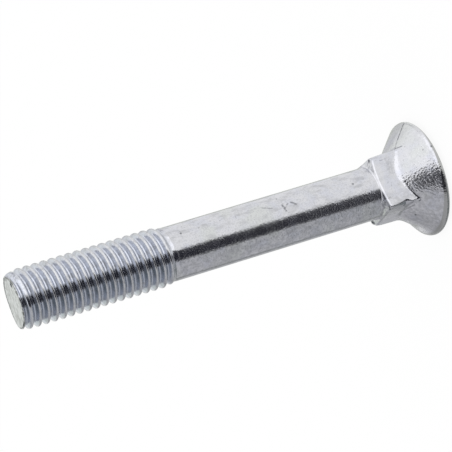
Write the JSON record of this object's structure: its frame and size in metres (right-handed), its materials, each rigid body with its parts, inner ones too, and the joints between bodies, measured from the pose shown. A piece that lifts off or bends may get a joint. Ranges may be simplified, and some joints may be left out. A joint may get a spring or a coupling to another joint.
{
  "type": "countersunk square-neck bolt",
  "caption": "Flat countersunk head bolt with a short square neck under the cone, a plain reduced shank and a part-length rolled thread, bright zinc plated steel.",
  "frame": {"origin": "centre of the head's flat face, which is the bottom of the bolt as it stands on its head", "axes": "+Z along the shank from the head to the threaded point; the flats of the square neck face X and Y"},
  "size_m": [0.0238, 0.0238, 0.09],
  "materials": {
    "zinc_plated_steel": "bright zinc plating, smooth with a fine grain"
  },
  "bodies": {
    "root": {"bolt": "zinc_plated_steel"}
  },
  "joints": []
}
